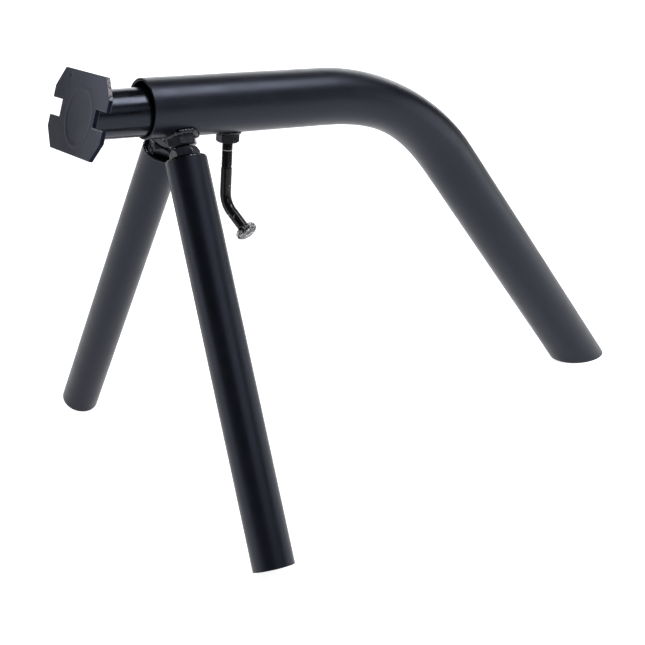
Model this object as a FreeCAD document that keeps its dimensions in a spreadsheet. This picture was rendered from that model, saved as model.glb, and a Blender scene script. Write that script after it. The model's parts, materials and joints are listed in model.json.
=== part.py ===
"""Bike repair stand: a low tripod of heavy steel tube with a sliding, turning head plate.

Frame: +X from the head towards the rear foot, +Z up, origin on the floor at the
centre of the stand's footprint box. All sizes are in millimetres.
"""
import FreeCAD, Part
import math
import os

V = FreeCAD.Vector
X_AXIS = V(1, 0, 0)
Y_AXIS = V(0, 1, 0)
Z_AXIS = V(0, 0, 1)

# ---------------------------------------------------------------- driving sizes
DRIVING = {
    "axis_height": 439.4,       # main tube axis above the floor, at the mouth
    "main_slope": 4.7,          # the main tube falls towards the rear foot
    "main_radius": 31.75,       # 2.5 inch tube
    "main_wall": 3.05,
    "main_straight": 218.1,     # mouth to the start of the bend
    "bend_radius": 261.8,
    "bend_angle": 48.5,
    "mast_radius": 25.4,        # 2 inch tube
    "mast_wall": 3.05,
    "mast_drop": 3.0,           # the mast lies low in the main tube
    "mast_turned": -4.3,        # the mast stands a little turned in the main tube
    "mast_reach": 71.6,         # mouth to the centre of the plate's front face
    "mast_inside": 170.0,
    "plate_tilt": 14.7,
    "plate_rise": 3.3,          # plate centre above the mast axis
    "leg_radius": 22.225,       # 1.75 inch tube
    "leg_wall": 3.05,
    "leg_station": 39.5,        # mouth to where the leg axes meet
    "leg_drop": 5.5,            # that point is below the main tube axis
    "leg_splay": 29.3,
    "clamp_station": 103.7,     # mouth to the clamp screw
}
D = DRIVING

# Main tube, flattened a little by the bending machine, mostly on the inside of the bend.
BEND_FLATTENING = 2.75
BEND_WIDENING = 1.0
BEND_SHIFT = 1.9
BEND_SECTIONS = 9
MOUTH_CHAMFER = 0.7

# Head plate: an octagon with a slot in each end.
PLATE_HALF_WIDTH = 63.1
PLATE_HALF_HEIGHT = 42.1
PLATE_CORNER_Y = 16.3
PLATE_CORNER_Z = 20.4
PLATE_THICKNESS = 5.0
PLATE_EDGE_ROUND = 0.6
SLOT_HALF_HEIGHT = 9.0
SLOT_DEPTH = 23.1

# Three-quarter inch leg screws; distances run down the leg from where the leg axes meet.
LEG_HEX_FLATS = 28.6
LEG_STUD_RADIUS = 8.70
RUNNING_GAP = 0.05
LEG_NUT_TOP = 27.8
LEG_NUT_BOTTOM = 36.8
LOCK_NUT_TOP = 40.2
LEG_CAP_TOP = 50.0
LEG_CAP_THICKNESS = 6.0
LEG_WELD_HEIGHT = 3.4
STUD_TOP = 28.2
STUD_BOTTOM = 60.0
LEG_NUT_TURN = 86.0
LOCK_NUT_TURN = 60.0

# Clamp screw under the main tube, bent below the thread to make its own handle.
CLAMP_HEX_FLATS = 22.0
CLAMP_NUT_TOP = 31.85
CLAMP_FLANGE_RADIUS = 13.4
CLAMP_FLANGE_THICKNESS = 1.6
CLAMP_NUT_HEIGHT = 10.5
CLAMP_SCREW_RADIUS = 5.43
CLAMP_HOLE_RADIUS = 6.3
CLAMP_TIP = 28.6
CLAMP_THREAD_END = 70.0
CLAMP_SHANK_RADIUS = 6.0
CLAMP_BEND_START = 97.8
CLAMP_BEND_RADIUS = 24.0
CLAMP_BEND_ANGLE = 55.3
CLAMP_BENT_LENGTH = 26.0
CLAMP_HEAD_FLATS = 20.6
CLAMP_HEAD_HEIGHT = 7.5
CLAMP_HANDLE_HEADING = -76.0

SOCKET_BEAD_RING = 15.8
SOCKET_BEAD_RADIUS = 5.0
SOCKET_BEAD_DEPTH = 27.2
CLAMP_BEAD_RING = 12.4
CLAMP_BEAD_RADIUS = 2.4
CLAMP_BEAD_DEPTH = 30.9
MAST_BEAD_RADIUS = 3.4

# ---------------------------------------------------------------- derived sizes
SLOPE = FreeCAD.Rotation(Y_AXIS, D["main_slope"])
DOWNHILL = SLOPE.multVec(X_AXIS)
UPRIGHT = SLOPE.multVec(Z_AXIS)
BEND = math.radians(D["bend_angle"])
DESCENT = BEND + math.radians(D["main_slope"])
BEND_END = V(D["main_straight"] + D["bend_radius"] * math.sin(BEND), 0,
             -D["bend_radius"] * (1 - math.cos(BEND)))
FOOT_DROP = D["axis_height"] + SLOPE.multVec(BEND_END).z
FOOT_X = SLOPE.multVec(BEND_END).x + FOOT_DROP / math.tan(DESCENT)
FOOT_END = FOOT_X + D["main_radius"] / math.sin(DESCENT)
TILT = math.radians(D["plate_tilt"])
LEG_ORIGIN = DOWNHILL * D["leg_station"] - UPRIGHT * D["leg_drop"]


def leg_rotation(side):
    """Turn of a leg out of the main tube's own frame; side is -1 near, +1 far."""
    return FreeCAD.Rotation(X_AXIS, side * D["leg_splay"])


def leg_length():
    """Distance down the leg at which the square end of the tube touches the floor."""
    down = SLOPE.multVec(leg_rotation(1).multVec(V(0, 0, -1)))
    rim_drop = D["leg_radius"] * math.sqrt(1 - down.z ** 2)
    return (D["axis_height"] + LEG_ORIGIN.z - rim_drop) / -down.z


def plate_outline():
    """Corners of the head plate as (y, z) points, with the slots."""
    w, h = PLATE_HALF_WIDTH, PLATE_HALF_HEIGHT
    inner = w - SLOT_DEPTH
    right = [(w - PLATE_CORNER_Y, -h), (w, -h + PLATE_CORNER_Z), (w, -SLOT_HALF_HEIGHT),
             (inner, -SLOT_HALF_HEIGHT), (inner, SLOT_HALF_HEIGHT), (w, SLOT_HALF_HEIGHT),
             (w, h - PLATE_CORNER_Z), (w - PLATE_CORNER_Y, h)]
    return right + [(-y, z) for y, z in reversed(right)]


def head_reach():
    """How far the plate's foremost corner stands ahead of the mouth."""
    tilt = FreeCAD.Rotation(Y_AXIS, D["plate_tilt"])
    turned = FreeCAD.Rotation(X_AXIS, D["mast_turned"])
    centre = V(-D["mast_reach"], 0, D["plate_rise"])
    drop = V(0, 0, -D["mast_drop"])
    corners = [turned.multVec(tilt.multVec(V(0, y, z)) + centre) + drop for y, z in plate_outline()]
    return -min(SLOPE.multVec(corner).x for corner in corners)


LEG_END = leg_length()
D["mouth_x"] = (head_reach() - FOOT_END) / 2

doc = FreeCAD.newDocument("bike_repair_stand")
sheet = doc.addObject("Spreadsheet::Sheet", "sizes")
for row, (name, value) in enumerate(D.items(), start=1):
    sheet.set("A%d" % row, name)
    sheet.set("B%d" % row, "%.4f" % value)
    sheet.setAlias("B%d" % row, name)
doc.recompute()


# ---------------------------------------------------------------- placements
MOUTH = ("placement(vector(sizes.mouth_x; 0; sizes.axis_height); "
         "rotation(vector(0; 1; 0); sizes.main_slope))")
CLAMP = MOUTH + " * placement(vector(sizes.clamp_station; 0; 0); rotation(vector(0; 0; 1); 0))"
HANDLE = (MOUTH + " * placement(vector(sizes.clamp_station; 0; 0); rotation(vector(0; 0; 1); %s))"
          % CLAMP_HANDLE_HEADING)
MAST = (MOUTH + " * placement(vector(0; 0; -sizes.mast_drop); "
        "rotation(vector(1; 0; 0); sizes.mast_turned))")
PLATE = (MAST + " * placement(vector(-sizes.mast_reach; 0; sizes.plate_rise); "
         "rotation(vector(0; 1; 0); sizes.plate_tilt))")


def leg_expression(side):
    """Leg frame: origin where the leg axes meet, -Z down the leg, X along the main tube."""
    return (MOUTH + " * placement(vector(sizes.leg_station; 0; -sizes.leg_drop); "
            "rotation(vector(1; 0; 0); %d * sizes.leg_splay))" % side)


# ---------------------------------------------------------------- modelling helpers
def new_body(label):
    body = doc.addObject("PartDesign::Body", label)
    body.Label = label
    return body


def new_sketch(body, role, name):
    sketch = body.newObject("Sketcher::SketchObject", name)
    plane = [item for item in body.Origin.OriginFeatures if item.Role == role][0]
    sketch.AttachmentSupport = [(plane, "")]
    sketch.MapMode = "FlatFace"
    return sketch


def draw_loop(sketch, points):
    """Closed outline of straight lines through (x, y) points."""
    for start, end in zip(points, points[1:] + points[:1]):
        sketch.addGeometry(Part.LineSegment(V(start[0], start[1], 0), V(end[0], end[1], 0)), False)


def draw_circle(sketch, radius):
    sketch.addGeometry(Part.Circle(V(0, 0, 0), Z_AXIS, radius), False)


def hexagon(flats, turn=0.0):
    """Corners of a hexagon; with turn 0 a flat faces along the first axis."""
    corner = flats / math.sqrt(3)
    angles = [math.radians(30 + 60 * k + turn) for k in range(6)]
    return [(corner * math.cos(a), corner * math.sin(a)) for a in angles]


def pad(body, sketch, length, name="Pad"):
    feature = body.newObject("PartDesign::Pad", name)
    feature.Profile = sketch
    feature.Length = length
    return feature


def revolve(body, profile, name="Revolution"):
    """Turn (radius, height) points about the body's Z axis."""
    sketch = new_sketch(body, "XZ_Plane", name + "Profile")
    draw_loop(sketch, profile)
    feature = body.newObject("PartDesign::Revolution", name)
    feature.Profile = sketch
    feature.ReferenceAxis = (sketch, ["V_Axis"])
    feature.Angle = 360
    return feature


def chamfer_hexagon(body, flats, height, name="Chamfering"):
    """Groove that turns the corners off one end of a hexagon."""
    corner = flats / math.sqrt(3)
    reach = corner - flats / 2 + 0.6
    sketch = new_sketch(body, "XZ_Plane", name + "Profile")
    drop = reach * math.tan(math.radians(30))
    sign = 1 if height > 0 else -1
    draw_loop(sketch, [(corner + 0.1 - reach, height), (corner + 1, height),
                       (corner + 1, height - sign * (drop + 0.6))])
    groove = body.newObject("PartDesign::Groove", name)
    groove.Profile = sketch
    groove.ReferenceAxis = (sketch, ["V_Axis"])
    groove.Angle = 360
    return groove


def hollow_hexagon(label, flats, bore, top, bottom, turn):
    """Hex nut blank with a plain bore, between two depths below the local origin."""
    body = new_body(label)
    outline = new_sketch(body, "XY_Plane", "Hexagon")
    outline.AttachmentOffset = FreeCAD.Placement(V(0, 0, -bottom), FreeCAD.Rotation())
    draw_loop(outline, hexagon(flats, turn))
    draw_circle(outline, bore)
    pad(body, outline, bottom - top)
    return body


def place(item, label, expression):
    item.Label = label
    item.setExpression("Placement", expression)
    return item


def cylinder(name, radius, height, base, direction):
    item = doc.addObject("Part::Cylinder", name)
    item.Radius = radius
    item.Height = height
    item.Placement = FreeCAD.Placement(base, FreeCAD.Rotation(Z_AXIS, direction))
    return item


def fuse(name, items):
    item = doc.addObject("Part::MultiFuse", name)
    item.Shapes = items
    return item


def cut(name, base, tool):
    item = doc.addObject("Part::Cut", name)
    item.Base = base
    item.Tool = tool
    return item


# ---------------------------------------------------------------- main tube
def bend_section(name, fraction, inset):
    """Oval cross-section part of the way round the bend, in the mouth's frame."""
    angle = BEND * fraction
    swell = math.sin(math.pi * fraction) ** 2
    along = V(math.cos(angle), 0, -math.sin(angle))
    outwards = V(math.sin(angle), 0, math.cos(angle))
    centre = V(D["main_straight"] + D["bend_radius"] * math.sin(angle), 0,
               -D["bend_radius"] * (1 - math.cos(angle))) + outwards * (BEND_SHIFT * swell)
    oval = doc.addObject("Part::Ellipse", name)
    oval.MajorRadius = D["main_radius"] + BEND_WIDENING * swell - inset
    oval.MinorRadius = D["main_radius"] - BEND_FLATTENING * swell - inset
    oval.Placement = FreeCAD.Placement(centre, FreeCAD.Rotation(Y_AXIS, outwards, along, "XZY"))
    return oval


def bent_rod(name, inset, overshoot):
    """Solid rod along the tube's centreline; inset is the distance inside the outer wall."""
    radius = D["main_radius"] - inset
    straight = cylinder(name + "_straight", radius, D["main_straight"] + overshoot,
                        V(-overshoot, 0, 0), X_AXIS)
    sections = [bend_section("%s_section_%d" % (name, k), k / (BEND_SECTIONS - 1), inset)
                for k in range(BEND_SECTIONS)]
    bend = doc.addObject("Part::Loft", name + "_bend")
    bend.Sections = sections
    bend.Solid = True
    bend.Ruled = False
    along = V(math.cos(BEND), 0, -math.sin(BEND))
    length = FOOT_DROP / math.sin(DESCENT) + 3 * D["main_radius"]
    descent = cylinder(name + "_descent", radius, length, BEND_END, along)
    return fuse(name, [straight, bend, descent])


def make_main_tube():
    outer = bent_rod("tube_outer", 0.0, 0.0)
    inner = bent_rod("tube_inner", D["main_wall"], 5.0)
    screw_hole = cylinder("screw_hole", CLAMP_HOLE_RADIUS, 20,
                          V(D["clamp_station"], 0, -20), V(0, 0, -1))
    floor = doc.addObject("Part::Box", "below_floor")
    floor.Length = 400
    floor.Width = 200
    floor.Height = 200
    corner = V(FOOT_X - 200, -100, -D["axis_height"] - 200)
    floor.Placement = FreeCAD.Placement(SLOPE.inverted().multVec(corner), SLOPE.inverted())
    tube = cut("tube_cut", outer, fuse("tube_tools", [inner, screw_hole, floor]))
    doc.recompute()
    rims = [index for index, edge in enumerate(tube.Shape.Edges, start=1)
            if all(abs(vertex.Point.x) < 1e-4 for vertex in edge.Vertexes)]
    main_tube = doc.addObject("Part::Chamfer", "main_tube")
    main_tube.Base = tube
    main_tube.Edges = [(index, MOUTH_CHAMFER, MOUTH_CHAMFER) for index in rims]
    return place(main_tube, "main_tube", MOUTH)


# ---------------------------------------------------------------- mast and head
def make_mast_tube():
    """Straight tube along X, its front end cut to the plate's tilt."""
    length = D["mast_reach"] + D["mast_inside"]
    start = V(-D["mast_reach"] - 20, 0, 0)
    stock = cylinder("mast_stock", D["mast_radius"], length + 20, start, X_AXIS)
    bore = cylinder("mast_bore", D["mast_radius"] - D["mast_wall"], length + 20, start, X_AXIS)
    trim = doc.addObject("Part::Box", "mast_trim")
    trim.Length = 80
    trim.Width = 120
    trim.Height = 120
    tilt = FreeCAD.Rotation(Y_AXIS, D["plate_tilt"])
    face = V(-D["mast_reach"], 0, D["plate_rise"])
    back = face + tilt.multVec(V(PLATE_THICKNESS, 0, 0))
    trim.Placement = FreeCAD.Placement(back + tilt.multVec(V(-80, -60, -60)), tilt)
    return place(cut("mast_tube", stock, fuse("mast_tools", [bore, trim])), "mast_tube", MAST)


def make_head_plate():
    """Octagon standing across X; its front face passes through the local origin."""
    body = new_body("head_plate")
    outline = new_sketch(body, "YZ_Plane", "Outline")
    draw_loop(outline, plate_outline())
    slab = pad(body, outline, PLATE_THICKNESS)
    doc.recompute()
    rounded = ["Edge%d" % index for index, edge in enumerate(slab.Shape.Edges, start=1)
               if abs(edge.Vertexes[0].Point.x - edge.Vertexes[-1].Point.x) < 1e-6]
    fillet = body.newObject("PartDesign::Fillet", "SoftEdges")
    fillet.Base = (slab, rounded)
    fillet.Radius = PLATE_EDGE_ROUND
    return place(body, "head_plate", PLATE)


def make_mast_weld():
    """Bead where the slanted end of the mast meets the back of the plate."""
    tilt = FreeCAD.Rotation(Y_AXIS, D["plate_tilt"])
    back_x = (-D["mast_reach"] + PLATE_THICKNESS / math.cos(TILT)
              - D["plate_rise"] * math.tan(TILT))
    bead = doc.addObject("Part::Torus", "mast_bead")
    bead.Radius1 = D["mast_radius"] / math.cos(TILT)
    bead.Radius2 = MAST_BEAD_RADIUS
    bead.Placement = FreeCAD.Placement(V(back_x, 0, 0), tilt * FreeCAD.Rotation(Z_AXIS, X_AXIS))
    core = cylinder("mast_core", D["mast_radius"], 160, V(-D["mast_reach"] - 60, 0, 0), X_AXIS)
    slab = doc.addObject("Part::Box", "plate_slab")
    slab.Length = 40
    slab.Width = 120
    slab.Height = 120
    slab.Placement = FreeCAD.Placement(V(back_x, 0, 0) + tilt.multVec(V(-40, -60, -60)), tilt)
    return place(cut("mast_weld", bead, fuse("mast_bead_tools", [core, slab])), "mast_weld", MAST)


def make_mast_end_plug():
    """Plug in the mast's inner end: a stem inside the bore and a lip behind it."""
    body = new_body("mast_end_plug")
    stem = D["mast_radius"] - D["mast_wall"] - RUNNING_GAP
    lip = D["mast_radius"] - 1.0
    end = D["mast_inside"] + RUNNING_GAP
    sketch = new_sketch(body, "XY_Plane", "Profile")
    draw_loop(sketch, [(end - 18, 0), (end - 18, stem - 1), (end - 17, stem), (end, stem),
                       (end, lip), (end + 2.2, lip), (end + 3, lip - 0.8), (end + 3, 0)])
    turned = body.newObject("PartDesign::Revolution", "Turned")
    turned.Profile = sketch
    turned.ReferenceAxis = (sketch, ["H_Axis"])
    turned.Angle = 360
    return place(body, "mast_end_plug", MAST)


# ---------------------------------------------------------------- legs
def make_leg_nut(label, side):
    body = hollow_hexagon(label, LEG_HEX_FLATS, LEG_STUD_RADIUS + RUNNING_GAP,
                          LEG_NUT_TOP, LEG_NUT_BOTTOM, LEG_NUT_TURN)
    chamfer_hexagon(body, LEG_HEX_FLATS, -LEG_NUT_BOTTOM)
    return place(body, label, leg_expression(side))


def make_leg_nut_weld(label, side):
    """Bead between the leg nut and the main tube, stopped at the stand's middle plane."""
    bead = doc.addObject("Part::Torus", label + "_bead")
    bead.Radius1 = SOCKET_BEAD_RING
    bead.Radius2 = SOCKET_BEAD_RADIUS
    bead.Placement.Base = V(0, 0, -SOCKET_BEAD_DEPTH)
    back = leg_rotation(side).inverted()
    tube_start = back.multVec(V(-100, 0, D["leg_drop"]))
    tube = cylinder(label + "_tube", D["main_radius"], 200, tube_start, X_AXIS)
    nut = doc.addObject("Part::Prism", label + "_nut")
    nut.Polygon = 6
    nut.Circumradius = LEG_HEX_FLATS / math.sqrt(3)
    nut.Height = 40
    nut.Placement = FreeCAD.Placement(V(0, 0, -LEG_NUT_TOP - 40), FreeCAD.Rotation(Z_AXIS, LEG_NUT_TURN + 30))
    hole = cylinder(label + "_hole", SOCKET_BEAD_RING - 4.0, 20, V(0, 0, -LEG_NUT_TOP - 2), Z_AXIS)
    other_half = doc.addObject("Part::Box", label + "_middle")
    other_half.Length = 200
    other_half.Width = 100
    other_half.Height = 200
    far_corner = V(-100, 0 if side < 0 else -100, -100)
    other_half.Placement = FreeCAD.Placement(back.multVec(far_corner), back)
    tools = fuse(label + "_tools", [tube, nut, hole, other_half])
    return place(cut(label, bead, tools), label, leg_expression(side))


def make_leg_stud(label, side):
    """Threaded stud, drawn as a plain rod at the thread's pitch diameter."""
    body = new_body(label)
    r = LEG_STUD_RADIUS
    revolve(body, [(0, -STUD_BOTTOM), (r, -STUD_BOTTOM), (r, -STUD_TOP - 1.2),
                   (r - 1.2, -STUD_TOP), (0, -STUD_TOP)])
    return place(body, label, leg_expression(side))


def make_leg_lock_nut(label, side):
    body = hollow_hexagon(label, LEG_HEX_FLATS, LEG_STUD_RADIUS + RUNNING_GAP,
                          LOCK_NUT_TOP, LEG_CAP_TOP, LOCK_NUT_TURN - side * 4)
    chamfer_hexagon(body, LEG_HEX_FLATS, -LEG_CAP_TOP)
    top = new_sketch(body, "XZ_Plane", "TopChamferProfile")
    corner = LEG_HEX_FLATS / math.sqrt(3)
    draw_loop(top, [(corner - 2.5, -LOCK_NUT_TOP), (corner + 0.5, -LOCK_NUT_TOP),
                    (corner + 0.5, -LOCK_NUT_TOP - 6.5)])
    groove = body.newObject("PartDesign::Groove", "TopChamfer")
    groove.Profile = top
    groove.ReferenceAxis = (top, ["V_Axis"])
    groove.Angle = 360
    return place(body, label, leg_expression(side))


def make_leg_cap(label, side):
    """Steel disc let into the top of the leg tube."""
    body = new_body(label)
    bore = LEG_STUD_RADIUS + RUNNING_GAP
    rim = D["leg_radius"] - D["leg_wall"] - 0.04
    revolve(body, [(bore, -LEG_CAP_TOP - LEG_CAP_THICKNESS), (rim, -LEG_CAP_TOP - LEG_CAP_THICKNESS),
                   (rim, -LEG_CAP_TOP), (bore, -LEG_CAP_TOP)])
    return place(body, label, leg_expression(side))


def make_leg_cap_weld(label, side):
    """Rounded weld that closes the corner between cap and leg tube."""
    body = new_body(label)
    inner = D["leg_radius"] - D["leg_wall"]
    outer = D["leg_radius"]
    base = -LEG_CAP_TOP - LEG_WELD_HEIGHT
    steps = 6
    arc = [(inner + (outer - inner) * math.cos(math.radians(90 * k / steps)),
            base + LEG_WELD_HEIGHT * math.sin(math.radians(90 * k / steps)))
           for k in range(steps + 1)]
    revolve(body, [(inner, base)] + arc)
    return place(body, label, leg_expression(side))


def make_leg_tube(label, side):
    body = new_body(label)
    inner = D["leg_radius"] - D["leg_wall"]
    outer = D["leg_radius"]
    top = -LEG_CAP_TOP - LEG_WELD_HEIGHT
    revolve(body, [(inner, -LEG_END), (outer, -LEG_END), (outer, top), (inner, top)])
    return place(body, label, leg_expression(side))


# ---------------------------------------------------------------- clamp
def make_clamp_nut():
    bottom = CLAMP_NUT_TOP + CLAMP_NUT_HEIGHT
    bore = CLAMP_SCREW_RADIUS + RUNNING_GAP
    body = hollow_hexagon("clamp_nut", CLAMP_HEX_FLATS, bore, CLAMP_NUT_TOP, bottom, 0)
    chamfer_hexagon(body, CLAMP_HEX_FLATS, -bottom)
    flange = -CLAMP_NUT_TOP - CLAMP_FLANGE_THICKNESS
    revolve(body, [(bore, flange), (CLAMP_FLANGE_RADIUS, flange),
                   (CLAMP_FLANGE_RADIUS, -CLAMP_NUT_TOP), (bore, -CLAMP_NUT_TOP)], "Flange")
    return place(body, "clamp_nut", CLAMP)


def make_clamp_nut_weld():
    bead = doc.addObject("Part::Torus", "clamp_bead")
    bead.Radius1 = CLAMP_BEAD_RING
    bead.Radius2 = CLAMP_BEAD_RADIUS
    bead.Placement.Base = V(0, 0, -CLAMP_BEAD_DEPTH)
    tube = cylinder("clamp_bead_tube", D["main_radius"], 200, V(-100, 0, 0), X_AXIS)
    nut = cylinder("clamp_bead_nut", 40, 20, V(0, 0, -CLAMP_NUT_TOP - 20), Z_AXIS)
    return place(cut("clamp_nut_weld", bead, fuse("clamp_bead_tools", [tube, nut])),
                 "clamp_nut_weld", CLAMP)


def make_clamp_screw():
    """Threaded part of the clamp bolt, plain at the pitch diameter, with a rounded tip."""
    body = new_body("clamp_screw")
    r = CLAMP_SCREW_RADIUS
    revolve(body, [(0, -CLAMP_THREAD_END), (r, -CLAMP_THREAD_END), (r, -CLAMP_TIP - 1.5),
                   (r - 1.5, -CLAMP_TIP), (0, -CLAMP_TIP)])
    return place(body, "clamp_screw", CLAMP)


def make_clamp_handle():
    """Lower part of the clamp bolt: a bent shank that ends in a hex head."""
    top = -CLAMP_THREAD_END - RUNNING_GAP
    start = V(0, 0, -CLAMP_BEND_START)
    angle = math.radians(CLAMP_BEND_ANGLE)
    middle = angle / 2
    elbow = V(CLAMP_BEND_RADIUS * (1 - math.cos(middle)), 0,
              -CLAMP_BEND_START - CLAMP_BEND_RADIUS * math.sin(middle))
    end = V(CLAMP_BEND_RADIUS * (1 - math.cos(angle)), 0,
            -CLAMP_BEND_START - CLAMP_BEND_RADIUS * math.sin(angle))
    along = V(math.sin(angle), 0, -math.cos(angle))
    tip = end + along * CLAMP_BENT_LENGTH
    body = new_body("clamp_handle")
    path = new_sketch(body, "XZ_Plane", "Path")
    path.addGeometry(Part.LineSegment(V(0, top, 0), V(0, start.z, 0)), False)
    path.addGeometry(Part.Arc(V(0, start.z, 0), V(elbow.x, elbow.z, 0), V(end.x, end.z, 0)), False)
    path.addGeometry(Part.LineSegment(V(end.x, end.z, 0), V(tip.x, tip.z, 0)), False)
    ring = new_sketch(body, "XY_Plane", "Ring")
    ring.AttachmentOffset = FreeCAD.Placement(V(0, 0, top), FreeCAD.Rotation())
    draw_circle(ring, CLAMP_SHANK_RADIUS)
    shank = body.newObject("PartDesign::AdditivePipe", "Shank")
    shank.Profile = ring
    shank.Spine = (path, ["Edge1", "Edge2", "Edge3"])
    head = new_sketch(body, "XY_Plane", "Head")
    facing = FreeCAD.Rotation(Z_AXIS, along)
    head.AttachmentOffset = FreeCAD.Placement(tip - along * 0.5, facing)
    draw_loop(head, hexagon(CLAMP_HEAD_FLATS, 15))
    pad(body, head, CLAMP_HEAD_HEIGHT, "HeadPad")
    return place(body, "clamp_handle", HANDLE)


# ---------------------------------------------------------------- assembly
parts = [make_main_tube(), make_mast_tube(), make_head_plate(), make_mast_weld(), make_mast_end_plug(),
         make_clamp_nut(), make_clamp_nut_weld(), make_clamp_screw(), make_clamp_handle()]
for prefix, side in (("near", -1), ("far", 1)):
    parts.append(make_leg_nut(prefix + "_leg_nut", side))
    parts.append(make_leg_nut_weld(prefix + "_leg_nut_weld", side))
    parts.append(make_leg_stud(prefix + "_leg_stud", side))
    parts.append(make_leg_lock_nut(prefix + "_leg_lock_nut", side))
    parts.append(make_leg_cap(prefix + "_leg_cap", side))
    parts.append(make_leg_cap_weld(prefix + "_leg_cap_weld", side))
    parts.append(make_leg_tube(prefix + "_leg_tube", side))
doc.recompute()

for item in doc.Objects:
    if "Invalid" in item.State or "Error" in item.State:
        raise RuntimeError("%s failed to build: %s" % (item.Name, item.State))
os.makedirs("parts", exist_ok=True)
for part in parts:
    shape = part.Shape
    if shape.isNull() or not shape.isValid() or shape.Volume <= 0:
        raise RuntimeError("%s has no valid solid" % part.Label)
    box = shape.BoundBox
    print("%-20s solids %d  volume %9.0f  x %.1f..%.1f  y %.1f..%.1f  z %.1f..%.1f"
          % (part.Label, len(shape.Solids), shape.Volume, box.XMin, box.XMax, box.YMin, box.YMax,
             box.ZMin, box.ZMax))
    shape.exportStep("parts/%s.step" % part.Label)
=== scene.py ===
"""Bike repair stand on a plain pale floor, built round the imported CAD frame.

Lengths are in metres, and MM turns millimetres into metres.
"""
import json
import math

import bmesh
import bpy
from mathutils import Matrix, Vector, noise


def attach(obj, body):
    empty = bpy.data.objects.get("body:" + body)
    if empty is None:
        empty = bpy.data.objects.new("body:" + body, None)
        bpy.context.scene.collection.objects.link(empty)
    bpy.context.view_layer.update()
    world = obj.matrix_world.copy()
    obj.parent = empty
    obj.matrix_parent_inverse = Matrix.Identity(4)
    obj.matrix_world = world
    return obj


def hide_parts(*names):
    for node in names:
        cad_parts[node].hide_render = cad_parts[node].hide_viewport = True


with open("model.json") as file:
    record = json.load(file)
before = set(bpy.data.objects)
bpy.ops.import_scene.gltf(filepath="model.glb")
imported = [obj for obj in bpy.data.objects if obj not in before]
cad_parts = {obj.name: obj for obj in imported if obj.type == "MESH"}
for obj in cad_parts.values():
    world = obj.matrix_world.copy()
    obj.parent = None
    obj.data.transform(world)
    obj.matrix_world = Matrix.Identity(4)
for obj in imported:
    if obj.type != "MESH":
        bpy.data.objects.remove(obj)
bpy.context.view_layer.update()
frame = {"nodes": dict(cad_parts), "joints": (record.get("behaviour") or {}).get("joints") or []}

MM = 0.001
TAU = 2 * math.pi
NODES = frame["nodes"]
JOINTS = {joint["name"]: joint for joint in frame["joints"]}

# ------------------------------------------------------------ sizes, most shared with the CAD model
TUBE_RADIUS = 31.75 * MM
MAST_RADIUS = 25.4 * MM
MAST_DROP = 3.0 * MM
LEG_RADIUS = 22.225 * MM
LEG_BORE = 19.175 * MM
LEG_SPLAY = math.radians(29.3)
TUBE_SLOPE = math.radians(4.7)
MAST_TURNED = math.radians(-4.3)
PLATE_TILT = math.radians(14.7)
PLATE_REACH = 71.6 * MM
PLATE_RISE = 3.3 * MM
PLATE_THICKNESS = 5.0 * MM
CLAMP_STATION = 103.7 * MM
CLAMP_HEADING = math.radians(-76.0)

# Outline of the head plate in millimetres, from its middle.
PLATE_WIDE = 63.1
PLATE_HIGH = 42.1
PLATE_CUT_WIDE = 16.3
PLATE_CUT_HIGH = 20.4
PLATE_SLOT_HALF = 9.0
PLATE_SLOT_DEEP = 23.1

# Nuts and bolts. Heights are below zero: on a leg zero is where the leg axes meet, and on the
# clamp bolt it is the main tube's axis.
LEG_HEX_FLATS = 28.6 * MM
LEG_HEX_BORE = 8.75 * MM
SOCKET_NUT_TURN = math.radians(86)
SOCKET_NUT_TOP = -27.8 * MM
SOCKET_NUT_FOOT = -38.0 * MM
LOCK_NUT_TOP = -40.2 * MM
LOCK_NUT_FOOT = -50.0 * MM
CLAMP_NUT_FLATS = 22.0 * MM
CLAMP_NUT_BORE = 6.1 * MM
CLAMP_NUT_FOOT = -42.35 * MM
CLAMP_THREAD_FOOT = -70.0 * MM
CLAMP_SHANK_RADIUS = 6.15 * MM
CLAMP_HEAD_FLATS = 20.6 * MM

SLOPE = Matrix.Rotation(TUBE_SLOPE, 4, "Y")
MAST_FRAME = (Matrix.Translation(JOINTS["mast_turn"]["pos_m"]) @ SLOPE
              @ Matrix.Rotation(MAST_TURNED, 4, "X"))
MOUTH_FRAME = (Matrix.Translation(JOINTS["mast_turn"]["pos_m"]) @ SLOPE
               @ Matrix.Translation((0, 0, MAST_DROP)))
MOUTH_OUTWARD = MOUTH_FRAME.col[0].to_3d() * -1
CLAMP_FRAME = MOUTH_FRAME @ Matrix.Translation((CLAMP_STATION, 0, 0))
PLATE_FRAME = (MAST_FRAME @ Matrix.Translation((-PLATE_REACH, 0, PLATE_RISE))
               @ Matrix.Rotation(PLATE_TILT, 4, "Y"))


def leg_frame(side):
    """Origin where the leg axes meet, -Z down the leg; side is -1 for the near leg, 1 for the far one."""
    name = "near_leg_turn" if side < 0 else "far_leg_turn"
    return Matrix.Translation(JOINTS[name]["pos_m"]) @ SLOPE @ Matrix.Rotation(side * LEG_SPLAY, 4, "X")


# ------------------------------------------------------------ camera
def make_camera():
    data = bpy.data.cameras.new("camera")
    camera = bpy.data.objects.new("camera", data)
    bpy.context.scene.collection.objects.link(camera)
    data.sensor_width = 36.0
    data.lens = 77.21
    data.clip_start = 0.05
    data.clip_end = 100
    place = (-0.9121, -1.2648, 0.7966)
    heading = math.radians(-33.43)
    elevation = math.radians(23.19)
    roll = math.radians(-0.31)
    camera.matrix_world = (Matrix.Translation(place)
                           @ Matrix.Rotation(heading, 4, "Z")
                           @ Matrix.Rotation(math.pi / 2 - elevation, 4, "X")
                           @ Matrix.Rotation(roll, 4, "Z"))
    bpy.context.scene.camera = camera


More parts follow.
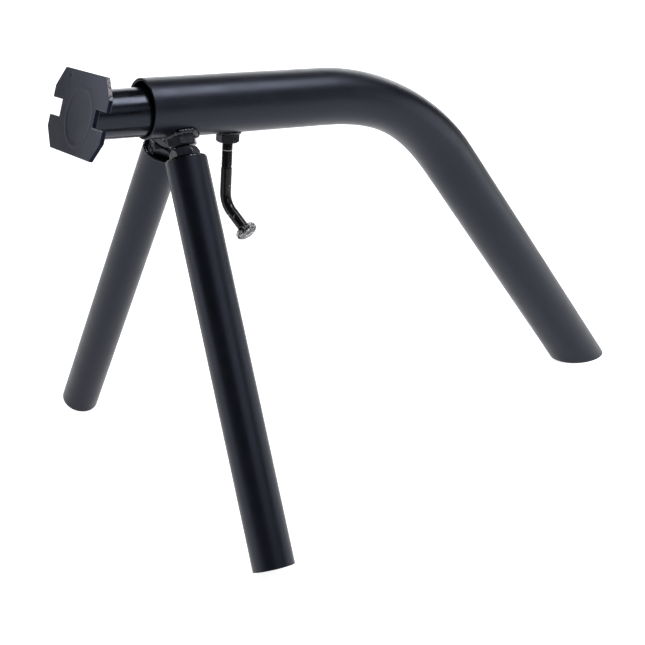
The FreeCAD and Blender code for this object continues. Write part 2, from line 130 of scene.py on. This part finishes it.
# ------------------------------------------------------------ material helpers
# Numbers of the Mix node's two colour inputs and its colour output.
MIX_FIRST = 6
MIX_SECOND = 7
MIX_RESULT = 2


def shade(tone, factor):
    """A colour made darker or lighter, with alpha 1."""
    return (tone[0] * factor, tone[1] * factor, tone[2] * factor, 1)


class Shader:
    """A Principled material with short calls for the nodes that this scene uses."""

    def __init__(self, name):
        self.material = bpy.data.materials.new(name)
        self.material.use_nodes = True
        self.tree = self.material.node_tree
        self.surface = self.tree.nodes["Principled BSDF"]
        coordinates = self.tree.nodes.new("ShaderNodeTexCoord")
        self.place = coordinates.outputs["Object"]

    def set(self, **values):
        for key, value in values.items():
            self.surface.inputs[key.replace("_", " ")].default_value = value

    def link(self, source, target):
        self.tree.links.new(source, target)

    def noise(self, scale, detail=4.0, roughness=0.55, stretch=None):
        """Noise in the piece's own coordinates; scale is in cells per metre."""
        node = self.tree.nodes.new("ShaderNodeTexNoise")
        node.inputs["Scale"].default_value = scale
        node.inputs["Detail"].default_value = detail
        node.inputs["Roughness"].default_value = roughness
        source = self.place
        if stretch:
            mapping = self.tree.nodes.new("ShaderNodeMapping")
            mapping.inputs["Scale"].default_value = stretch
            self.link(source, mapping.inputs["Vector"])
            source = mapping.outputs["Vector"]
        self.link(source, node.inputs["Vector"])
        return node.outputs["Fac"]

    def ramp(self, source, low, high, start=0.0, end=1.0):
        """Goes from start to end while source goes from low to high."""
        node = self.tree.nodes.new("ShaderNodeMapRange")
        node.inputs["From Min"].default_value = low
        node.inputs["From Max"].default_value = high
        node.inputs["To Min"].default_value = start
        node.inputs["To Max"].default_value = end
        self.link(source, node.inputs["Value"])
        return node.outputs["Result"]

    def blend(self, factor, first, second):
        """Mix of two colours, each a tuple or another node's output."""
        node = self.tree.nodes.new("ShaderNodeMix")
        node.data_type = "RGBA"
        self.link(factor, node.inputs["Factor"])
        for number, colour in ((MIX_FIRST, first), (MIX_SECOND, second)):
            if isinstance(colour, tuple):
                node.inputs[number].default_value = colour
            else:
                self.link(colour, node.inputs[number])
        return node.outputs[MIX_RESULT]

    def maths(self, operation, first, second):
        node = self.tree.nodes.new("ShaderNodeMath")
        node.operation = operation
        for socket, value in zip(node.inputs, (first, second)):
            if isinstance(value, (int, float)):
                socket.default_value = value
            else:
                self.link(value, socket)
        return node.outputs["Value"]

    def attribute(self, name):
        node = self.tree.nodes.new("ShaderNodeAttribute")
        node.attribute_name = name
        return node.outputs["Fac"]

    def facing(self, direction):
        """1 on faces that look along a fixed direction of the model, less on all others."""
        geometry = self.tree.nodes.new("ShaderNodeNewGeometry")
        node = self.tree.nodes.new("ShaderNodeVectorMath")
        node.operation = "DOT_PRODUCT"
        node.inputs[1].default_value = direction
        self.link(geometry.outputs["True Normal"], node.inputs[0])
        return node.outputs["Value"]

    def bump(self, height, strength, distance, after=None):
        node = self.tree.nodes.new("ShaderNodeBump")
        node.inputs["Strength"].default_value = strength
        node.inputs["Distance"].default_value = distance
        self.link(height, node.inputs["Height"])
        if after is not None:
            self.link(after, node.inputs["Normal"])
        return node.outputs["Normal"]


def satin_paint(name, tone, roughness, peel=0.12, streak=None, rubbed=False, rim=None):
    """Black powder coat: fine orange peel, slow changes of tone, a few dust specks.

    streak stretches extra polish marks, rubbed makes it read the mesh's fade attribute, which is painted
    light (a paler, bluer tone where light falls, little gloss on cut sides), and its wear attribute, and
    rim is the direction that a dull cut end faces.
    """
    dust = (0.05, 0.05, 0.06, 1)
    # Tone for painted light: paler and bluer where light falls on the plate's face.
    painted_light_tone = (0.075, 0.080, 0.110, 1)
    bare_steel = (0.30, 0.28, 0.28, 1)
    shader = Shader(name)
    shader.set(Metallic=0.0, IOR=1.40, Specular_Tint=(0.71, 0.77, 1.0, 1))
    gloss = shader.surface.inputs["Specular IOR Level"]
    clouds = shader.noise(14.0, 3.0)
    base = shader.blend(clouds, shade(tone, 0.86), shade(tone, 1.16))
    specks = shader.ramp(shader.noise(650.0, 2.0, 0.6), 0.74, 0.80)
    base = shader.blend(specks, base, dust)
    if rubbed:
        # Painted light: fade mixes in a paler, bluer tone where light falls on the face, and takes the
        # gloss off the cut sides.
        fade = shader.attribute("fade")
        base = shader.blend(fade, base, painted_light_tone)
        shader.link(shader.ramp(fade, -0.8, -0.2, 0.08, 0.5), gloss)
        flakes = shader.ramp(shader.noise(380.0, 4.0), 0.35, 0.5)
        bare = shader.maths("MULTIPLY", shader.attribute("wear"), flakes)
        base = shader.blend(bare, base, bare_steel)
    shader.link(base, shader.surface.inputs["Base Color"])
    if rim:
        shader.link(shader.ramp(shader.facing(rim), 0.96, 0.99, 0.5, 0.06), gloss)
    patches = shader.noise(45.0, 4.0)
    rough = shader.ramp(patches, 0.3, 0.7, roughness - 0.03, roughness + 0.05)
    if streak:
        lines = shader.noise(60.0, 5.0, 0.65, stretch=streak)
        rough = shader.maths("ADD", rough, shader.ramp(lines, 0.35, 0.7, -0.05, 0.10))
    shader.link(rough, shader.surface.inputs["Roughness"])
    normal = shader.bump(shader.noise(420.0, 2.0), peel, 0.0004)
    normal = shader.bump(shader.noise(2600.0, 2.0), peel * 0.8, 0.0001, after=normal)
    shader.link(normal, shader.surface.inputs["Normal"])
    return shader.material


def gloss_paint(name, tone, roughness, ior=1.27, lumps=0.16):
    """Thick glossy black over nuts and welds, with small runs and pinholes."""
    shader = Shader(name)
    shader.set(Metallic=0.0, IOR=ior, Specular_Tint=(0.85, 0.90, 1.0, 1))
    grime = shader.noise(160.0, 4.0)
    base = shader.blend(grime, shade(tone, 0.6), shade(tone, 1.6))
    shader.link(base, shader.surface.inputs["Base Color"])
    rough = shader.ramp(shader.noise(300.0, 3.0), 0.3, 0.7, roughness - 0.05, roughness + 0.10)
    shader.link(rough, shader.surface.inputs["Roughness"])
    normal = shader.bump(shader.noise(260.0, 2.0), lumps, 0.0006)
    shader.link(normal, shader.surface.inputs["Normal"])
    return shader.material


def worn_paint(name):
    """Black over bright steel; the mesh's wear attribute says how much has rubbed off."""
    paint_low, paint_high = (0.002, 0.002, 0.003, 1), (0.008, 0.008, 0.010, 1)
    steel_low, steel_high = (0.22, 0.22, 0.23, 1), (0.62, 0.62, 0.63, 1)
    shader = Shader(name)
    shader.set(IOR=1.28)
    flakes = shader.noise(420.0, 4.0, 0.6)
    wear = shader.attribute("wear")
    bare = shader.ramp(shader.maths("ADD", flakes, wear), 0.99, 1.06)
    grain = shader.noise(900.0, 3.0)
    paint = shader.blend(grain, paint_low, paint_high)
    steel = shader.blend(grain, steel_low, steel_high)
    shader.link(shader.blend(bare, paint, steel), shader.surface.inputs["Base Color"])
    shader.link(shader.ramp(bare, 0, 1, 0.0, 0.7), shader.surface.inputs["Metallic"])
    shader.link(shader.ramp(bare, 0, 1, 0.18, 0.42), shader.surface.inputs["Roughness"])
    normal = shader.bump(shader.maths("SUBTRACT", 1.0, bare), 0.5, 0.0003)
    normal = shader.bump(grain, 0.25, 0.0002, after=normal)
    shader.link(normal, shader.surface.inputs["Normal"])
    return shader.material


MATERIALS = {
    "tube": satin_paint("tube_paint", (0.0022, 0.0023, 0.0048), 0.36, rim=MOUTH_OUTWARD),
    "leg": satin_paint("leg_paint", (0.0020, 0.0021, 0.0045), 0.37),
    "mast": satin_paint("mast_paint", (0.0014, 0.0015, 0.0024), 0.21, peel=0.14, streak=(0.15, 6.0, 6.0)),
    # The plate paint carries painted light, paler towards its upper near corner, as well as wear.
    "plate": satin_paint("plate_paint", (0.0062, 0.0068, 0.0150), 0.48, peel=0.3, rubbed=True),
    "hardware": gloss_paint("hardware_paint", (0.0026, 0.0026, 0.0034), 0.17),
    # Painted light: lit_nut_paint is the black hardware paint in a lighter tone, standing in for the lit
    # grey flats of the leg nuts.
    "nut": gloss_paint("lit_nut_paint", (0.018, 0.019, 0.024), 0.17, ior=1.42, lumps=0.35),
    "weld": gloss_paint("weld_paint", (0.0022, 0.0023, 0.0030), 0.11, ior=1.42, lumps=1.0),
    "worn": worn_paint("worn_paint"),
    "plug": satin_paint("plug_plastic", (0.012, 0.012, 0.012), 0.6),
}


# ------------------------------------------------------------ mesh helpers
def add_piece(name, body, material, verts, faces, place, sharp=35.0):
    """A mesh piece given in its own frame, put in place and riding on a CAD body."""
    mesh = bpy.data.meshes.new(name)
    mesh.from_pydata([place @ Vector(v) for v in verts], [], faces)
    mesh.validate()
    work = bmesh.new()
    work.from_mesh(mesh)
    bmesh.ops.recalc_face_normals(work, faces=work.faces)
    work.to_mesh(mesh)
    work.free()
    mesh.polygons.foreach_set("use_smooth", [True] * len(mesh.polygons))
    mesh.set_sharp_from_angle(angle=math.radians(sharp))
    piece = bpy.data.objects.new(name, mesh)
    bpy.context.scene.collection.objects.link(piece)
    mesh.materials.append(MATERIALS[material])
    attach(piece, body)
    return piece


def set_attribute(piece, name, rule):
    """Stores rule(vertex place) on the mesh, for a material to read."""
    values = [rule(vert.co) for vert in piece.data.vertices]
    attribute = piece.data.attributes.new(name, "FLOAT", "POINT")
    attribute.data.foreach_set("value", values)


def bevel(piece, width):
    modifier = piece.modifiers.new("soft_edges", "BEVEL")
    modifier.width = width
    modifier.segments = 2
    modifier.limit_method = "ANGLE"
    modifier.angle_limit = math.radians(35)
    modifier.harden_normals = True


def clamped(value):
    """The value, kept between 0 and 1."""
    return min(1.0, max(0.0, value))


def grid_faces(rows, columns, close_rows=False):
    """Quads over rows of points; each row is a closed ring."""
    faces = []
    for i in range(rows if close_rows else rows - 1):
        for j in range(columns):
            a, b = i, (i + 1) % rows
            c, d = j, (j + 1) % columns
            faces.append((a * columns + c, a * columns + d, b * columns + d, b * columns + c))
    return faces


NUT_SEGMENTS = 144


def lathe(profile, segments=96):
    """Closed ring made by turning (radius, height) points about Z. profile may take the angle."""
    verts = []
    for k in range(segments):
        angle = TAU * k / segments
        points = profile(angle) if callable(profile) else profile
        verts += [(r * math.cos(angle), r * math.sin(angle), h) for r, h in points]
    return verts, grid_faces(segments, len(verts) // segments, close_rows=True)


def hexagon_radius(angle, flats, turn):
    """Distance from the middle of a hexagon to its outline at an angle."""
    step = (angle - turn + math.pi / 6) % (math.pi / 3) - math.pi / 6
    return flats / 2 / math.cos(step)


def ring_noise(angle, height):
    """Smooth unevenness round a nut, the same again after a full turn."""
    return noise.noise(Vector((3 * math.cos(angle), 3 * math.sin(angle), height * 300)))


def hex_nut(flats, bore, low, high, turn=0.0, chamfer_high=True, lumps=0.0):
    """Nut between two heights; the chamfers leave the curved edges of a turned corner."""
    crown = flats * 0.475
    slope = math.tan(math.radians(30))
    break_edge = 0.8 * MM
    blunt = 0.3 * MM

    def profile(angle):
        edge = hexagon_radius(angle, flats, turn)
        if lumps:
            edge += lumps * ring_noise(angle, low)
        drop = (edge - crown) * slope
        points = [(bore, low + break_edge), (bore + break_edge, low), (crown, low), (edge, low + drop)]
        if chamfer_high:
            points += [(edge, high - drop), (crown, high)]
        else:
            points += [(edge, high - blunt), (edge - blunt, high)]
        points += [(bore + break_edge, high), (bore, high - break_edge)]
        return points

    return lathe(profile, NUT_SEGMENTS)


def domed_nut(flats, bore, low, high, turn):
    """Lock nut whose top falls away in a long bevel, low corners barely broken."""
    crown = flats * 0.49
    rise = 5.4 * MM / (flats / math.sqrt(3) - crown)

    def profile(angle):
        edge = hexagon_radius(angle, flats, turn)
        edge += 0.25 * MM * ring_noise(angle, low)
        drop = max(0.3 * MM, (edge - crown) * rise)
        return [(bore, low + 0.5 * MM), (bore + 0.5 * MM, low), (edge - 0.7 * MM, low),
                (edge, low + 0.7 * MM), (edge, high - drop), (crown - 0.6 * MM, high),
                (bore + 0.8 * MM, high), (bore, high - 0.8 * MM)]

    return lathe(profile, NUT_SEGMENTS)


def thread(radius, depth, pitch, low, high, segments=40, steps=10):
    """Right-hand V thread between two heights, run out at both ends."""
    rows = max(2, int((high - low) / pitch * steps))
    verts = []
    for i in range(rows + 1):
        height = low + (high - low) * i / rows
        fade = min(1.0, (height - low) / pitch, (high - height) / pitch)
        for j in range(segments):
            angle = TAU * j / segments
            phase = (height / pitch - j / segments) % 1.0
            crest = clamped((1 - abs(2 * phase - 1)) * 1.25 - 0.12)
            r = radius - depth * (1 - crest * fade)
            verts.append((r * math.cos(angle), r * math.sin(angle), height))
    faces = grid_faces(rows + 1, segments)
    top = len(verts)
    verts += [(0, 0, low), (0, 0, high)]
    faces += [(j, (j + 1) % segments, top) for j in range(segments)]
    last = rows * segments
    faces += [(last + (j + 1) % segments, last + j, top + 1) for j in range(segments)]
    return verts, faces


def bead(centre, radius, ripples, rough, segments=288, sides=18, depth=0.12, seed=0.0):
    """Weld bead round a closed path. centre(angle) and radius(angle) give its line and size.

    ripples is their number round the path, depth how far each sinks as a fraction of the
    bead's size, and rough the height of the grain. seed changes the ripples' spacing and the grain.
    """
    grain_scale = 420
    verts = []
    for k in range(segments):
        angle = TAU * k / segments
        here = centre(angle)
        ahead = (centre(angle + 0.01) - centre(angle - 0.01)).normalized()
        out = Vector((math.cos(angle), math.sin(angle), 0))
        out = (out - ahead * out.dot(ahead)).normalized()
        up = ahead.cross(out)
        wave = (angle * ripples / TAU + 0.25 * math.sin(3 * angle + seed)) % 1.0
        for j in range(sides):
            turn = TAU * j / sides
            direction = out * math.cos(turn) + up * math.sin(turn)
            spot = (here + direction * radius(angle)) * grain_scale + Vector((seed, 0, 0))
            ripple = 1.05 - depth + depth * math.sqrt(wave) * (1 - wave ** 6)
            size = radius(angle) * ripple + rough * noise.noise(spot)
            verts.append(here + direction * size)
    return verts, grid_faces(segments, sides, close_rows=True)


# ------------------------------------------------------------ main tube and its welded nuts
def paint_node(node, material):
    for slot in NODES[node].material_slots:
        slot.material = MATERIALS[material]


def make_frame():
    paint_node("main_tube", "tube")
    for prefix, side in (("near", -1), ("far", 1)):
        place = leg_frame(side)
        nut = add_piece(prefix + "_socket_nut", "frame", "nut",
                        *hex_nut(LEG_HEX_FLATS, LEG_HEX_BORE, SOCKET_NUT_FOOT, SOCKET_NUT_TOP,
                                 turn=SOCKET_NUT_TURN, chamfer_high=False, lumps=0.35 * MM), place)
        bevel(nut, 0.35 * MM)
        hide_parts(prefix + "_leg_nut")
        make_socket_weld(prefix, side, place)


def make_socket_weld(prefix, side, place):
    """Lumpy weld that climbs from the nut's top onto the round of the main tube."""
    axis = place.inverted() @ MOUTH_FRAME @ Vector((0, 0, 0))
    nut_level = -27.4 * MM

    def line(angle):
        ring = hexagon_radius(angle, LEG_HEX_FLATS, SOCKET_NUT_TURN) * 0.5 + 8.4 * MM
        x, y = ring * math.cos(angle), ring * math.sin(angle)
        surface = axis.z - math.sqrt(TUBE_RADIUS ** 2 - (y - axis.y) ** 2)
        return Vector((x, y, 0.68 * surface + 0.32 * nut_level))

    def size(angle):
        lump = noise.noise(Vector((2.6 * math.cos(angle), 2.6 * math.sin(angle), 4.0 * side)))
        return (2.9 + 1.1 * abs(math.sin(angle)) + 1.6 * lump) * MM

    weld = add_piece(prefix + "_socket_weld", "frame", "weld",
                     *bead(line, size, 11, 0.5 * MM, seed=3.0 * side), place, sharp=180)
    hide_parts(prefix + "_leg_nut_weld")


# ------------------------------------------------------------ legs
def make_leg(prefix, side):
    place = leg_frame(side)
    body = prefix + "_leg"
    paint_node(prefix + "_leg_tube", "leg")
    paint_node(prefix + "_leg_cap", "hardware")
    stud = add_piece(prefix + "_stud_thread", prefix + "_leg_carriage", "hardware",
                     *thread(radius=8.70 * MM, depth=1.1 * MM, pitch=2.54 * MM,
                             low=-59.5 * MM, high=-28.2 * MM), place)
    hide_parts(prefix + "_leg_stud")
    turn = math.radians(60 - side * 4)
    nut = add_piece(prefix + "_leg_hex", body, "nut",
                    *domed_nut(LEG_HEX_FLATS, LEG_HEX_BORE, LOCK_NUT_FOOT, LOCK_NUT_TOP, turn), place)
    bevel(nut, 0.35 * MM)
    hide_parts(prefix + "_leg_lock_nut")

    ring = 0.5 * (LEG_RADIUS + LEG_BORE) - 1.0 * MM
    level = -52.9 * MM

    def line(angle):
        wobble = 0.25 * MM * noise.noise(Vector((2 * math.cos(angle), 2 * math.sin(angle), side)))
        return Vector((ring * math.cos(angle), ring * math.sin(angle), level + wobble))

    weld = add_piece(prefix + "_cap_bead", body, "weld",
                     *bead(line, lambda angle: 2.55 * MM, 26, 0.30 * MM, seed=5.0 + side), place, sharp=180)
    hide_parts(prefix + "_leg_cap_weld")


# ------------------------------------------------------------ mast and head plate
def plate_outline():
    """Corners of the plate, once round: cut corners, and a slot in each side."""
    w, h = PLATE_WIDE * MM, PLATE_HIGH * MM
    cut_y, cut_z = PLATE_CUT_WIDE * MM, PLATE_CUT_HIGH * MM
    slot, deep = PLATE_SLOT_HALF * MM, PLATE_SLOT_DEEP * MM
    right = [(w - cut_y, -h), (w, -h + cut_z), (w, -slot), (w - deep, -slot),
             (w - deep, slot), (w, slot), (w, h - cut_z), (w - cut_y, h)]
    return right + [(-y, z) for y, z in reversed(right)]


def edge_wear(co):
    """Paint rubbed off the near side's upper cut edge, its slot's lower lip and the bottom edge."""
    spot = PLATE_FRAME.inverted() @ co
    depth, y, z = spot.x / MM, -spot.y / MM, spot.z / MM
    past_corner = (y - PLATE_WIDE + PLATE_CUT_WIDE) * PLATE_CUT_HIGH + (z - PLATE_HIGH) * PLATE_CUT_WIDE
    if 0.6 < depth < 4.4 and y > 45 and z > 20 and past_corner > -8:
        return 0.8
    on_face = depth < 0.4
    lip = on_face and y > 39 and -10.2 < z < -8.0
    foot = on_face and z < -41.6
    return 0.5 if lip or foot else 0.0


def plate_painted_light(co):
    """Painted light: the plate's paint is made paler towards its upper near corner, where light falls on
    it, and its cut sides are dark.
    """
    spot = PLATE_FRAME.inverted() @ co
    skin = 0.55 * MM
    if skin < spot.x < PLATE_THICKNESS - skin:
        return -1.0
    return clamped(0.25 - spot.y / (120 * MM) + spot.z / (160 * MM))


def dent_plate(vert):
    """Moves a vertex of either face: the weld's faint ring and pits in front, a slight warp on both."""
    ring_y, ring_z, ring_radius, ring_width = -6.0 * MM, -PLATE_RISE, 29.0 * MM, 1.4 * MM
    pits = ((31.8, 35.0, 1.3), (30.0, 29.5, 0.9), (-12.0, -30.0, 0.7), (20.0, -22.0, 0.6))
    y, z = vert.co.y, vert.co.z
    distance = math.hypot(y - ring_y, z - ring_z)
    ring = math.exp(-((distance - ring_radius) / ring_width) ** 2)
    pit = sum(math.exp(-(math.hypot(y - a * MM, z - b * MM) / (r * MM)) ** 2) for a, b, r in pits)
    warp = 0.22 * MM * noise.noise(Vector((y, z, 0.3)) * 22)
    if vert.co.x < 0.4 * PLATE_THICKNESS:
        vert.co.x += -0.30 * MM * ring + 0.9 * MM * pit + warp
    else:
        vert.co.x += warp


def make_head_plate():
    """Eight-sided plate, its faces divided finely enough to carry the ring and the pits."""
    outline = plate_outline()
    count = len(outline)
    verts = [(0, y, z) for y, z in outline] + [(PLATE_THICKNESS, y, z) for y, z in outline]
    faces = [tuple(range(count)), tuple(range(2 * count - 1, count - 1, -1))]
    faces += [(k, (k + 1) % count, (k + 1) % count + count, k + count) for k in range(count)]
    mesh = bpy.data.meshes.new("head_plate_steel")
    mesh.from_pydata(verts, [], faces)
    work = bmesh.new()
    work.from_mesh(mesh)
    bmesh.ops.recalc_face_normals(work, faces=work.faces)
    hard = [e for e in work.edges if e.calc_face_angle(0) > math.radians(40)]
    bmesh.ops.bevel(work, geom=hard, offset=0.7 * MM, segments=3, profile=0.6, affect="EDGES")
    step = 1.6 * MM
    for axis, reach in ((1, PLATE_WIDE * MM), (2, PLATE_HIGH * MM)):
        for k in range(-int(reach / step), int(reach / step) + 1):
            normal = Vector((0, axis == 1, axis == 2))
            geometry = work.verts[:] + work.edges[:] + work.faces[:]
            bmesh.ops.bisect_plane(work, geom=geometry, plane_co=normal * (k * step), plane_no=normal)
    for vert in work.verts:
        dent_plate(vert)
    bmesh.ops.recalc_face_normals(work, faces=work.faces)
    work.to_mesh(mesh)
    work.free()
    plate = add_piece("head_plate_steel", "mast", "plate", [tuple(v.co) for v in mesh.vertices],
                      [tuple(p.vertices) for p in mesh.polygons], PLATE_FRAME, sharp=50)
    set_attribute(plate, "wear", edge_wear)
    # The fade attribute is painted light: paler towards the upper near corner.
    set_attribute(plate, "fade", plate_painted_light)
    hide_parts("head_plate")


def make_mast():
    """Tube and plug keep their CAD shape; the plate and the weld behind it are new."""
    paint_node("mast_tube", "mast")
    paint_node("mast_end_plug", "plug")
    make_head_plate()
    back = -PLATE_REACH + PLATE_THICKNESS / math.cos(PLATE_TILT) - PLATE_RISE * math.tan(PLATE_TILT)
    place = (MAST_FRAME @ Matrix.Translation((back, 0, 0)) @ Matrix.Rotation(PLATE_TILT, 4, "Y")
             @ Matrix.Rotation(math.pi / 2, 4, "Y"))

    wide = MAST_RADIUS + 1.4 * MM
    lift = 1.2 * MM

    def line(angle):
        return Vector((wide / math.cos(PLATE_TILT) * math.cos(angle), wide * math.sin(angle), lift))

    weld = add_piece("mast_bead", "mast", "weld",
                     *bead(line, lambda angle: 3.1 * MM, 40, 0.25 * MM, depth=0.3, seed=1.7), place,
                     sharp=180)
    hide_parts("mast_weld")


# ------------------------------------------------------------ clamp
def make_clamp_nut():
    """Hex nut with a round collar under the main tube."""
    bore, rim = CLAMP_NUT_BORE, 13.4 * MM
    nut = add_piece("clamp_hex", "frame", "hardware",
                    *hex_nut(CLAMP_NUT_FLATS, bore, CLAMP_NUT_FOOT, -33.2 * MM, chamfer_high=False),
                    CLAMP_FRAME)
    bevel(nut, 0.3 * MM)
    collar_profile = [(bore, -33.4 * MM), (rim - 1.2 * MM, -33.6 * MM), (rim, -33.0 * MM),
                      (rim, -32.2 * MM), (rim - 0.6 * MM, -31.85 * MM), (bore, -31.85 * MM)]
    collar = add_piece("clamp_collar", "frame", "hardware", *lathe(collar_profile), CLAMP_FRAME)
    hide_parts("clamp_nut")


def make_clamp_weld():
    """Thin bead between the collar and the tube, fattest on the side towards the bend."""
    ring = 12.6 * MM
    collar_level = -31.4 * MM

    def line(angle):
        y = ring * math.sin(angle)
        surface = math.sqrt(TUBE_RADIUS ** 2 - y ** 2)
        return Vector((ring * math.cos(angle), y, -0.5 * surface + 0.5 * collar_level))

    def size(angle):
        return (1.1 + 0.6 * abs(math.sin(angle)) + 1.3 * max(0.0, math.cos(angle)) ** 3) * MM

    weld = add_piece("clamp_bead", "frame", "weld",
                     *bead(line, size, 20, 0.15 * MM, segments=180, sides=12), CLAMP_FRAME, sharp=180)
    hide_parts("clamp_nut_weld")


def thread_wear(co):
    """Lightly rubbed all along, with one bright scratch across the thread."""
    below = -(CLAMP_FRAME.inverted() @ co).z / MM
    scratch = 0.45 if abs(below - 51.0) < 0.5 else 0.0
    return 0.24 + 0.05 * math.sin(below) + scratch


def make_clamp_screw():
    screw = add_piece("clamp_thread", "clamp_carriage", "worn",
                      *thread(radius=6.05 * MM, depth=0.70 * MM, pitch=1.75 * MM,
                              low=CLAMP_THREAD_FOOT, high=-28.6 * MM), CLAMP_FRAME)
    set_attribute(screw, "wear", thread_wear)
    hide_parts("clamp_screw")


def handle_path():
    """Points and directions down the bent shank, in a frame whose X is the way it bends."""
    bend_radius, bend_angle, bend_start = 24.0 * MM, math.radians(55.3), -97.8 * MM
    straight = 26.0 * MM
    heights = (-70.05, -70.6, -74, -78, -82, -86, -90, -94)
    points = [(Vector((0, 0, z * MM)), Vector((0, 0, -1))) for z in heights]
    bend_steps, straight_steps = 28, 8
    for k in range(bend_steps + 1):
        a = bend_angle * k / bend_steps
        spot = Vector((bend_radius * (1 - math.cos(a)), 0, bend_start - bend_radius * math.sin(a)))
        points.append((spot, Vector((math.sin(a), 0, -math.cos(a)))))
    end, along = points[-1]
    for k in range(1, straight_steps + 1):
        points.append((end + along * straight * k / straight_steps, along))
    return points


def make_clamp_handle():
    place = CLAMP_FRAME @ Matrix.Rotation(CLAMP_HEADING, 4, "Z")
    path = handle_path()
    make_clamp_shank(place, path)
    make_clamp_head(place, path)


def make_clamp_shank(place, path):
    """Bent rod with small dents, rubbed inside the bend, towards its end and at a nick near the thread."""
    sides, radius = 36, CLAMP_SHANK_RADIUS
    verts = []
    across = Vector((0, 1, 0))
    for index, (point, along) in enumerate(path):
        third = along.cross(across)
        taper = 0.82 if index == 0 else 1.0
        for j in range(sides):
            angle = TAU * j / sides
            direction = across * math.cos(angle) + third * math.sin(angle)
            dent = 0.10 * MM * noise.noise((point + direction * radius) * 240)
            verts.append(point + direction * (radius * taper + dent))
    faces = grid_faces(len(path), sides)
    faces.append(tuple(range(sides)))
    faces.append(tuple(range(len(verts) - 1, len(verts) - sides - 1, -1)))
    shank = add_piece("clamp_shank", "clamp_handle", "worn", verts, faces, place)
    nick_place, nick_size = Vector((-3.8, 4.8, -71.5)) * MM, 1.8 * MM

    def shank_wear(co):
        spot = place.inverted() @ co
        below = -spot.z / MM
        inner = clamped(spot.x / radius - 0.1)
        band = max(0.0, 1.0 - abs(below - 93) / 16)
        bent = clamped((below - 104) / 14)
        nick = 0.9 * max(0.0, 1.0 - (spot - nick_place).length / nick_size)
        return 0.16 + 0.36 * inner * band + 0.19 * bent + nick + 0.10 * noise.noise(co * 120)

    set_attribute(shank, "wear", shank_wear)
    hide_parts("clamp_handle")


def make_clamp_head(place, path):
    """Solid hex head on the end of the shank: a nut whose hole is closed at both ends."""
    end, along = path[-1]
    facing = Matrix.Translation(end) @ along.to_track_quat("Z", "Y").to_matrix().to_4x4()
    low, high = -0.5 * MM, 7.0 * MM
    verts, faces = hex_nut(CLAMP_HEAD_FLATS, 2.0 * MM, low, high, turn=math.radians(15), lumps=0.25 * MM)
    count = len(verts) // NUT_SEGMENTS
    top_centre, low_centre = len(verts), len(verts) + 1
    verts += [(0, 0, high + 0.2 * MM), (0, 0, low)]
    for k in range(NUT_SEGMENTS):
        here, ahead = k * count, (k + 1) % NUT_SEGMENTS * count
        faces.append((here + count - 2, ahead + count - 2, top_centre))
        faces.append((ahead + 1, here + 1, low_centre))
    head = add_piece("clamp_head", "clamp_handle", "worn", verts, faces, place @ facing)
    middle = place @ end
    set_attribute(head, "wear",
                  lambda co: 0.47 + 0.20 * noise.noise(co * 190) + 3.0 * (co - middle).length)


# ------------------------------------------------------------ floor and light
def make_floor():
    """Pale paper with a glow of its own, so wide that its edge lies far behind the stand."""
    reach = 90
    corners = [(-reach, -reach, 0), (reach, -reach, 0), (reach, reach, 0), (-reach, reach, 0)]
    mesh = bpy.data.meshes.new("floor")
    mesh.from_pydata(corners, [], [(0, 1, 2, 3)])
    floor = bpy.data.objects.new("floor", mesh)
    bpy.context.scene.collection.objects.link(floor)
    shader = Shader("floor_paper")
    shader.set(Base_Color=(0.55, 0.55, 0.55, 1), Roughness=0.9, IOR=1.2)
    shader.set(Emission_Color=(1, 1, 1, 1), Emission_Strength=0.92)
    mesh.materials.append(shader.material)


# Soft boxes: name, place, the point it looks at, width and height, watts.
SOFTBOXES = (
    ("overhead", (0.95, -0.85, 2.6), (0.9, -0.6, 0.0), (1.4, 1.25), 64),
    ("front", (-0.05, -1.98, 1.40), (-0.25, -0.1, 0.3), (1.5, 0.8), 8),
    ("right", (2.4, -1.2, 0.7), (-0.2, 0.0, 0.2), (2.2, 1.4), 16),
    ("spark", (-1.1, 0.7, 2.6), (-0.26, 0.0, 0.4), (0.4, 0.4), 20),
    ("back", (1.4, 3.0, 1.3), (0.0, 0.0, 0.3), (5.0, 2.4), 100),
    ("left", (-3.2, 1.0, 0.45), (-0.2, 0.0, 0.1), (1.6, 0.9), 9),
)
COOL_WHITE = (0.95, 0.97, 1.0)


def add_softbox(name, location, target, size, power):
    light = bpy.data.lights.new(name, "AREA")
    light.shape = "RECTANGLE"
    light.size, light.size_y = size
    light.energy = power
    light.color = COOL_WHITE
    lamp = bpy.data.objects.new(name, light)
    bpy.context.scene.collection.objects.link(lamp)
    lamp.location = location
    lamp.rotation_euler = (Vector(target) - Vector(location)).to_track_quat("-Z", "Y").to_euler()


def make_light():
    scene = bpy.context.scene
    world = bpy.data.worlds.new("studio")
    scene.world = world
    world.use_nodes = True
    background = world.node_tree.nodes["Background"]
    background.inputs["Color"].default_value = (0.93, 0.95, 1.0, 1)
    background.inputs["Strength"].default_value = 0.04
    scene.view_settings.view_transform = "Standard"
    scene.view_settings.exposure = 0.0
    for softbox in SOFTBOXES:
        add_softbox(*softbox)


# ------------------------------------------------------------ build
make_camera()
make_frame()
for leg_prefix, leg_side in (("near", -1), ("far", 1)):
    make_leg(leg_prefix, leg_side)
make_mast()
make_clamp_nut()
make_clamp_weld()
make_clamp_screw()
make_clamp_handle()
make_floor()
make_light()
